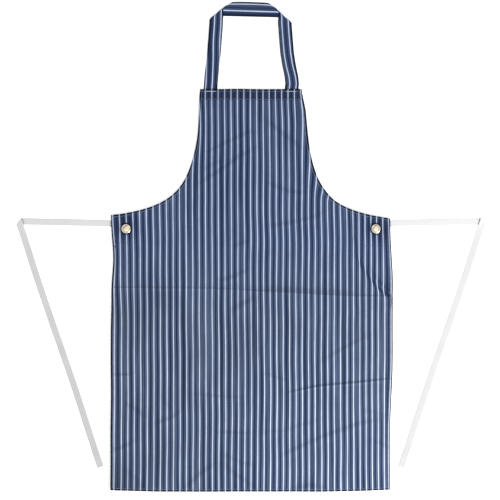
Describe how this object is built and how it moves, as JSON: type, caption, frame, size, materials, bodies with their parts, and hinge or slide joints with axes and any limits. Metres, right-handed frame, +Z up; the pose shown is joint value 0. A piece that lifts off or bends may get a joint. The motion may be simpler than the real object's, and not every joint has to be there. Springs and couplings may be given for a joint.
{
  "type": "butcher apron",
  "caption": "Striped bib apron lying flat, with a folded neck strap and two waist tapes knotted through brass eyelets.",
  "frame": {"origin": "on the table, under the middle of the apron's whole length and width", "axes": "+X towards the wearer's left, +Y from the skirt's bottom edge to the neck strap, +Z up out of the cloth's front"},
  "size_m": [1.186, 1.2396, 0.0103],
  "materials": {
    "striped_cloth": "coated woven cloth, navy with narrow white stripes",
    "seam_thread": "navy sewing thread",
    "tack_thread": "pale grey sewing thread, dense stitches",
    "white_tape": "white herringbone cotton tape",
    "tape_thread": "white sewing thread",
    "eyelet_brass": "bright rolled brass"
  },
  "bodies": {
    "panel": {"panel_upper": "striped_cloth", "patch_left": "striped_cloth", "patch_right": "striped_cloth", "bib_hem_thread": "seam_thread", "armhole_thread_left": "seam_thread", "armhole_thread_right": "seam_thread", "waist_thread_left": "seam_thread", "waist_thread_right": "seam_thread", "patch_thread_left": "seam_thread", "patch_thread_right": "seam_thread", "strap_end_left": "striped_cloth", "strap_end_right": "striped_cloth", "bar_tack_left": "tack_thread", "bar_tack_right": "tack_thread", "eyelet_left": "eyelet_brass", "eyelet_right": "eyelet_brass", "washer_left": "eyelet_brass", "washer_right": "eyelet_brass"},
    "skirt": {"panel_skirt": "striped_cloth", "skirt_thread_left": "seam_thread", "skirt_thread_right": "seam_thread", "bottom_thread": "seam_thread"},
    "neck_loop": {"neck_strap": "striped_cloth", "strap_thread": "seam_thread"},
    "left_tie": {"tie_left": "white_tape", "tie_knot_left": "white_tape", "tie_end_thread_left": "tape_thread"},
    "right_tie": {"tie_right": "white_tape", "tie_knot_right": "white_tape", "tie_end_thread_right": "tape_thread"}
  },
  "joints": [
    {"name": "skirt_fold", "type": "hinge", "parent": "panel", "child": "skirt", "pos_m": [0, -0.11275, 0.003], "axis": [-1, 0, 0], "range_deg": [0, 150]},
    {"name": "neck_fold", "type": "hinge", "parent": "panel", "child": "neck_loop", "pos_m": [0, 0.40525, 0.0019], "axis": [1, 0, 0], "range_deg": [-90, 150]},
    {"name": "left_tie_swing", "type": "hinge", "parent": "panel", "child": "left_tie", "pos_m": [-0.316, 0.04675, 0.002], "axis": [0, 0, 1], "range_deg": [-60, 20]},
    {"name": "right_tie_swing", "type": "hinge", "parent": "panel", "child": "right_tie", "pos_m": [0.316, 0.04675, 0.002], "axis": [0, 0, 1], "range_deg": [-20, 60]}
  ]
}
